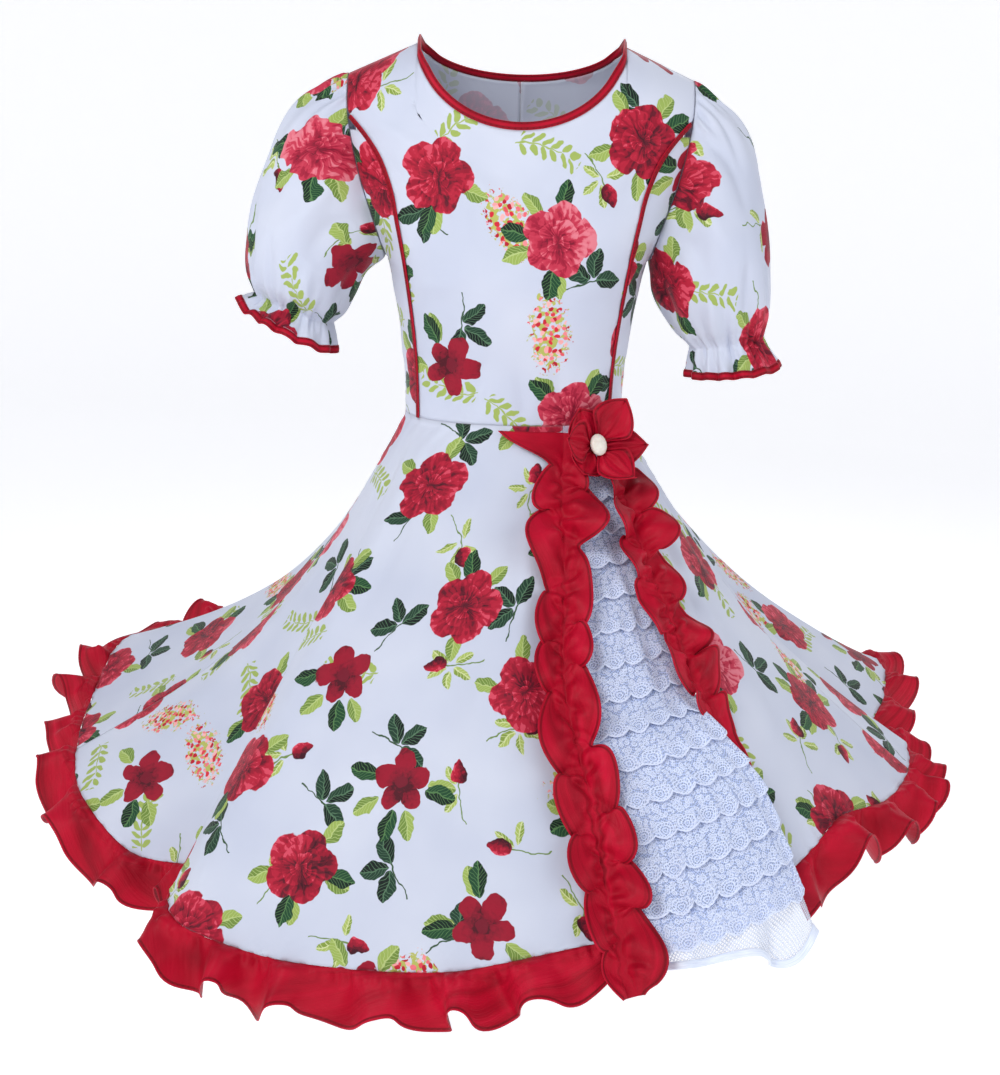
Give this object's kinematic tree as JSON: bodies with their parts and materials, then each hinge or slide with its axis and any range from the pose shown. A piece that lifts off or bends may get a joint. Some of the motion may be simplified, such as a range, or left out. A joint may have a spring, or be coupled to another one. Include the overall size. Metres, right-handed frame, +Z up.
{
  "type": "cueca folk dance dress",
  "caption": "Knee-length dance dress with a princess-seamed bodice, puff sleeves, a flared skirt with a gathered red hem, and a ruffled front slit over tiers of white lace.",
  "frame": {"origin": "midway between the two shoulder seams where they meet the neck, where the wearer carries the dress", "axes": "+Z up, -Y out of the dress's front, +X towards the wearer's left"},
  "size_m": [1.111, 1.058, 0.959],
  "materials": {
    "printed_cotton": "white cotton blend with a rose print, matte",
    "red_satin_cotton": "plain red cotton satin, low sheen",
    "white_lace": "white scalloped lace",
    "white_tulle": "white net with a satin edge",
    "button_plastic": "ivory, polished"
  },
  "bodies": {
    "root": {"bodice_back_left": "printed_cotton", "bodice_back_right": "printed_cotton", "bodice_front": "printed_cotton", "bodice_side_left": "printed_cotton", "bodice_side_right": "printed_cotton", "flower_button": "button_plastic", "flower_petal_1": "red_satin_cotton", "flower_petal_2": "red_satin_cotton", "flower_petal_3": "red_satin_cotton", "flower_petal_4": "red_satin_cotton", "flower_petal_5": "red_satin_cotton", "flower_petal_6": "red_satin_cotton", "hem_ruffle_back": "red_satin_cotton", "hem_ruffle_front_left": "red_satin_cotton", "hem_ruffle_front_right": "red_satin_cotton", "lace_lining": "white_lace", "lace_tier_01": "white_lace", "lace_tier_02": "white_lace", "lace_tier_03": "white_lace", "lace_tier_04": "white_lace", "lace_tier_05": "white_lace", "lace_tier_06": "white_lace", "lace_tier_07": "white_lace", "lace_tier_08": "white_lace", "lace_tier_09": "white_lace", "lace_tier_10": "white_lace", "lace_tier_11": "white_lace", "lace_tier_12": "white_lace", "lace_tier_13": "white_lace", "lace_tier_14": "white_lace", "neck_binding": "red_satin_cotton", "piping_left": "red_satin_cotton", "piping_right": "red_satin_cotton", "skirt_back": "printed_cotton", "skirt_front_left": "printed_cotton", "skirt_front_right": "printed_cotton", "sleeve_binding_left": "red_satin_cotton", "sleeve_binding_right": "red_satin_cotton", "sleeve_left": "printed_cotton", "sleeve_right": "printed_cotton", "slit_ruffle_left": "red_satin_cotton", "slit_ruffle_right": "red_satin_cotton", "tulle_binding": "white_tulle", "tulle_hem": "white_tulle"}
  },
  "joints": []
}
